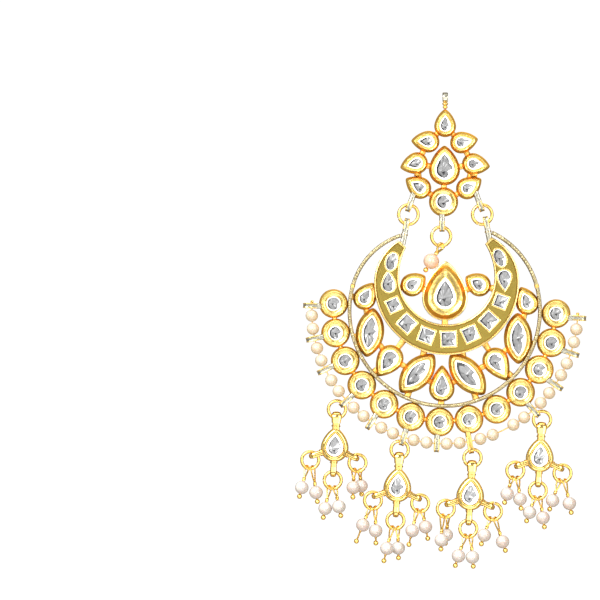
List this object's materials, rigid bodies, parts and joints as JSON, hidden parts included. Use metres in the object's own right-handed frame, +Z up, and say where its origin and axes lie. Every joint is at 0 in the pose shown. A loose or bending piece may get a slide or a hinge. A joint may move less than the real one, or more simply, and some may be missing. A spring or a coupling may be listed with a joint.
{
  "type": "chandbali earring",
  "caption": "Long gold-plated crescent earring: a stone-set flower stud, a crescent on a hoop with a rim of round bezels and pearls, and pear drops with pearl clusters.",
  "frame": {"origin": "where the ear post leaves the back of the flower", "axes": "+Z up, the earring's length hangs down -Z; the front faces -Y; +X is right as seen from the front"},
  "size_m": [0.0642, 0.0141, 0.1049],
  "materials": {
    "set_gold": "gold plated, hammered rims",
    "cast_gold": "gold plated, smooth cast",
    "gold_wire": "pale gold plated wire",
    "foiled_glass": "foil-backed flat cut",
    "pearl_cream": "satin pearl coat",
    "pearl_peach": "satin pearl coat",
    "post_steel": "plain drawn post",
    "stringing_wire": "fine wire"
  },
  "bodies": {
    "flower": {"flower_frame": "set_gold", "ear_post": "post_steel", "ring_centre": "gold_wire", "centre_pin": "gold_wire", "centre_pearl": "pearl_peach", "flower_stone_1": "foiled_glass", "flower_stone_2": "foiled_glass", "flower_stone_3": "foiled_glass", "flower_stone_4": "foiled_glass", "flower_stone_5": "foiled_glass", "flower_stone_6": "foiled_glass", "flower_stone_7": "foiled_glass", "flower_stone_8": "foiled_glass", "flower_stone_9": "foiled_glass"},
    "chand": {"chand_frame": "set_gold", "ring_left": "gold_wire", "ring_right": "gold_wire", "crescent_stones": "foiled_glass", "rim_stones": "foiled_glass", "rim_thread": "stringing_wire", "rim_pearls": "pearl_cream", "main_stone": "foiled_glass", "trio_stone_1": "foiled_glass", "trio_stone_2": "foiled_glass", "inner_stone_1": "foiled_glass", "inner_stone_2": "foiled_glass", "inner_stone_3": "foiled_glass", "inner_stone_4": "foiled_glass", "inner_stone_5": "foiled_glass", "inner_stone_6": "foiled_glass", "inner_stone_7": "foiled_glass", "inner_stone_8": "foiled_glass", "inner_stone_9": "foiled_glass", "drop_ring_1": "gold_wire", "drop_frame_1": "cast_gold", "drop_stone_1": "foiled_glass", "drop_links_1": "gold_wire", "drop_pins_1": "gold_wire", "drop_pearls_1": "pearl_cream", "drop_ring_2": "gold_wire", "drop_frame_2": "cast_gold", "drop_stone_2": "foiled_glass", "drop_links_2": "gold_wire", "drop_pins_2": "gold_wire", "drop_pearls_2": "pearl_cream", "drop_ring_3": "gold_wire", "drop_frame_3": "cast_gold", "drop_stone_3": "foiled_glass", "drop_links_3": "gold_wire", "drop_pins_3": "gold_wire", "drop_pearls_3": "pearl_cream", "drop_ring_4": "gold_wire", "drop_frame_4": "cast_gold", "drop_stone_4": "foiled_glass", "drop_links_4": "gold_wire", "drop_pins_4": "gold_wire", "drop_pearls_4": "pearl_cream"}
  },
  "joints": [
    {"name": "chand_swing", "type": "hinge", "parent": "flower", "child": "chand", "pos_m": [0, -0.0012, -0.0081], "axis": [1, 0, 0], "range_deg": [-55, 55]}
  ]
}
